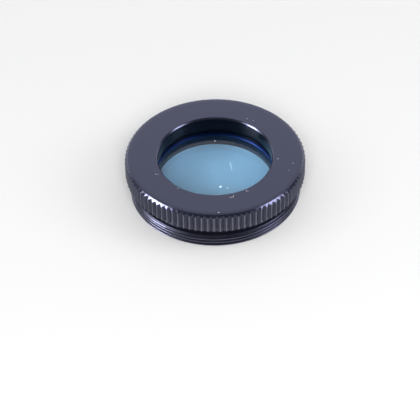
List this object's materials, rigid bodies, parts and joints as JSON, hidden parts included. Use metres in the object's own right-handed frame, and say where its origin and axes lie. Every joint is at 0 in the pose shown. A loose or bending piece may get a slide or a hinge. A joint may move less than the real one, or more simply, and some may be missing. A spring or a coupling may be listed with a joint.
{
  "type": "telescope eyepiece filter",
  "caption": "Round eyepiece filter: a tinted glass disc in a shallow black cell with a knurled rim and a male barrel thread, clamped by a slotted ring.",
  "frame": {"origin": "on the optical axis at the free end of the male thread, which is the plane the filter stands on", "axes": "+Z along the optical axis, from the threaded end towards the plain front face; the part is round, so +X and +Y are free, and the ring's spanner slots lie along X"},
  "size_m": [0.03, 0.03, 0.0073],
  "materials": {
    "black_anodise": "satin black anodised",
    "tinted_glass": "polished, light blue tint",
    "ring_anodise": "matt black anodised"
  },
  "bodies": {
    "root": {"filter_cell": "black_anodise", "filter_glass": "tinted_glass", "retaining_ring": "ring_anodise"}
  },
  "joints": []
}
